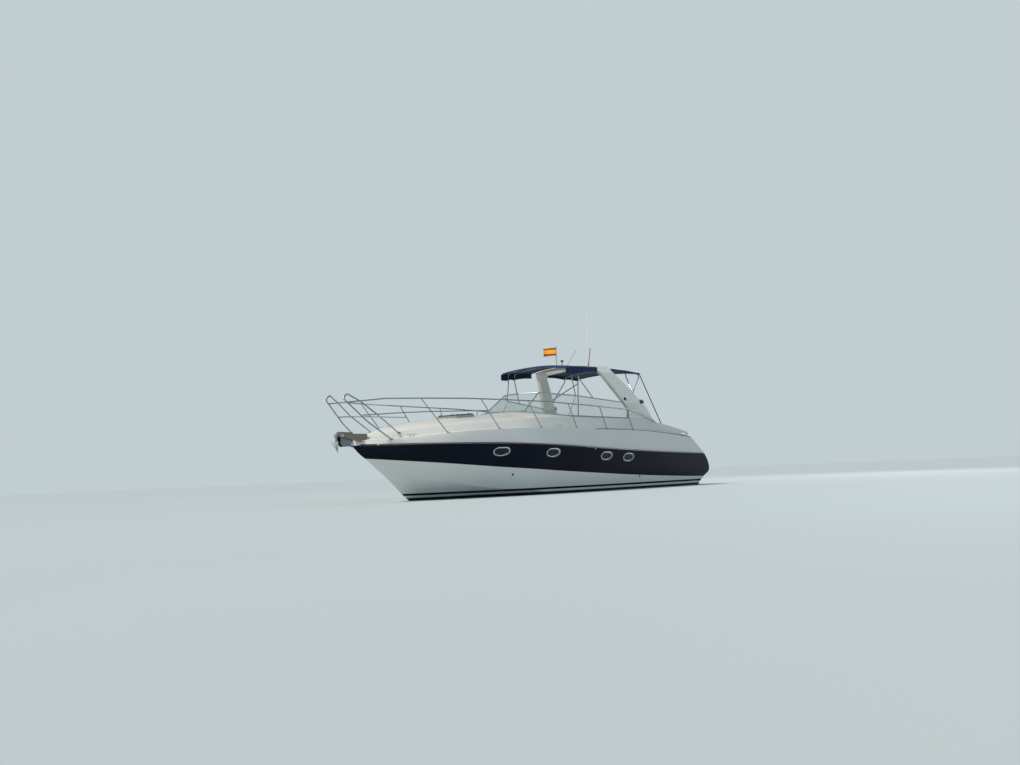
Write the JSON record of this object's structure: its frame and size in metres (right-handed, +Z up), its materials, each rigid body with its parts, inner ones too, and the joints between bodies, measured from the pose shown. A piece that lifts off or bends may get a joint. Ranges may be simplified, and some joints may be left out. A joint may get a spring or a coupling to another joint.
{
  "type": "sports cruiser motorboat",
  "caption": "Open sports cruiser afloat: stepped white hull with navy band, radar arch, canvas tops, twin stern drives, cockpit, opening hatches and sliding cabin door.",
  "frame": {"origin": "on the waterplane, on the centreline, at the foot of the transom", "axes": "+X to the bow, +Y to port, +Z up"},
  "size_m": [12.58, 3.4608, 5.2274],
  "materials": {
    "hull_gelcoat": "gloss white gelcoat with a navy band",
    "white_moulding": "gloss white gelcoat",
    "dark_rubber": "matt",
    "chromed_metal": "polished",
    "smoked_glass": "smoked, polished",
    "polished_steel": "polished stainless",
    "teak": "oiled teak with dark seams",
    "galvanised_steel": "dull galvanised",
    "light_alloy": "satin",
    "black_plastic": "satin black",
    "white_plastic": "gloss",
    "brown_plastic": "weathered",
    "flag_cloth": "woven, in red and yellow stripes",
    "navy_canvas": "woven acrylic canvas",
    "dark_webbing": "woven webbing",
    "smoked_acrylic": "dark, polished",
    "dark_leather": "stitched",
    "cream_vinyl": "cream marine vinyl",
    "engine_paint": "satin",
    "drive_paint": "satin black",
    "propeller_steel": "cast and polished"
  },
  "bodies": {
    "boat": {"hull": "hull_gelcoat", "deck": "white_moulding", "rub_strakes": "dark_rubber", "porthole_rims": "chromed_metal", "porthole_glass": "smoked_glass", "bow_rail_port": "polished_steel", "bow_rail_starboard": "polished_steel", "bow_platform": "teak", "bow_roller": "polished_steel", "anchor": "galvanised_steel", "cleats": "chromed_metal", "hatch_frame": "light_alloy", "windscreen_frame": "light_alloy", "windscreen_glass": "smoked_glass", "radar_arch": "white_moulding", "arch_lamps": "black_plastic", "aerials": "white_plastic", "masthead_light": "brown_plastic", "flag_staff": "polished_steel", "flag": "flag_cloth", "canopy_forward": "navy_canvas", "canopy_aft": "navy_canvas", "canopy_bows": "polished_steel", "canopy_straps": "dark_webbing", "cockpit_sole": "teak", "cabin_sole": "teak", "door_tracks": "light_alloy", "helm_console": "white_moulding", "throttle_levers": "chromed_metal", "helm_seat_base": "white_moulding", "helm_cushions": "cream_vinyl", "lounge_base": "white_moulding", "lounge_cushions": "cream_vinyl", "bench_base": "white_moulding", "bench_cushions": "cream_vinyl", "cockpit_table": "teak", "engines": "engine_paint", "drive_mounts": "drive_paint", "trim_tabs": "polished_steel"},
    "hatch_lid": {"hatch_lid": "smoked_glass"},
    "locker_lid": {"locker_lid": "white_moulding"},
    "engine_lid": {"engine_lid": "white_moulding", "sun_pad": "cream_vinyl"},
    "cabin_door": {"cabin_door": "smoked_acrylic"},
    "transom_gate": {"transom_gate": "white_moulding"},
    "steering_wheel": {"steering_wheel": "dark_leather"},
    "drive_yoke_port": {"drive_yoke_port": "drive_paint"},
    "drive_leg_port": {"drive_leg_port": "drive_paint"},
    "propeller_port": {"propeller_port": "propeller_steel"},
    "drive_yoke_starboard": {"drive_yoke_starboard": "drive_paint"},
    "drive_leg_starboard": {"drive_leg_starboard": "drive_paint"},
    "propeller_starboard": {"propeller_starboard": "propeller_steel"}
  },
  "joints": [
    {"name": "port_steer", "type": "hinge", "parent": "boat", "child": "drive_yoke_port", "pos_m": [-0.115, 0.43, -0.15], "axis": [0, 0, 1], "range_deg": [-28, 28]},
    {"name": "port_tilt", "type": "hinge", "parent": "drive_yoke_port", "child": "drive_leg_port", "pos_m": [-0.235, 0.43, -0.15], "axis": [0, 1, 0], "range_deg": [0, 40]},
    {"name": "port_propeller_turn", "type": "hinge", "parent": "drive_leg_port", "child": "propeller_port", "pos_m": [-0.86, 0.43, -0.64], "axis": [1, 0, 0], "continuous": true},
    {"name": "starboard_steer", "type": "hinge", "parent": "boat", "child": "drive_yoke_starboard", "pos_m": [-0.115, -0.43, -0.15], "axis": [0, 0, 1], "range_deg": [-28, 28]},
    {"name": "starboard_tilt", "type": "hinge", "parent": "drive_yoke_starboard", "child": "drive_leg_starboard", "pos_m": [-0.235, -0.43, -0.15], "axis": [0, 1, 0], "range_deg": [0, 40]},
    {"name": "starboard_propeller_turn", "type": "hinge", "parent": "drive_leg_starboard", "child": "propeller_starboard", "pos_m": [-0.86, -0.43, -0.64], "axis": [1, 0, 0], "continuous": true},
    {"name": "wheel_turn", "type": "hinge", "parent": "boat", "child": "steering_wheel", "pos_m": [4.895, -0.6, 1.465], "axis": [-0.9135, 0, 0.4067], "range_deg": [-425, 425]},
    {"name": "engine_lid_lift", "type": "hinge", "parent": "boat", "child": "engine_lid", "pos_m": [0.694, 0, 1.14], "axis": [0, -1, 0], "range_deg": [0, 45]},
    {"name": "hatch_lift", "type": "hinge", "parent": "boat", "child": "hatch_lid", "pos_m": [8.3335, 0, 1.83975], "axis": [0, 1, 0], "range_deg": [0, 85]},
    {"name": "locker_lift", "type": "hinge", "parent": "boat", "child": "locker_lid", "pos_m": [10.25, 0, 1.57571], "axis": [0, -1, 0], "range_deg": [0, 90]},
    {"name": "gate_swing", "type": "hinge", "parent": "boat", "child": "transom_gate", "pos_m": [0.64, 0.72, 0.62], "axis": [0, 0, 1], "range_deg": [-90, 0]},
    {"name": "cabin_door_slide", "type": "slide", "parent": "boat", "child": "cabin_door", "axis": [0, 1, 0], "range_m": [0, 0.56]}
  ],
  "couplings": [
    {"joint": "starboard_steer", "follows": "port_steer", "ratio": 1},
    {"joint": "wheel_turn", "follows": "port_steer", "ratio": -15}
  ]
}
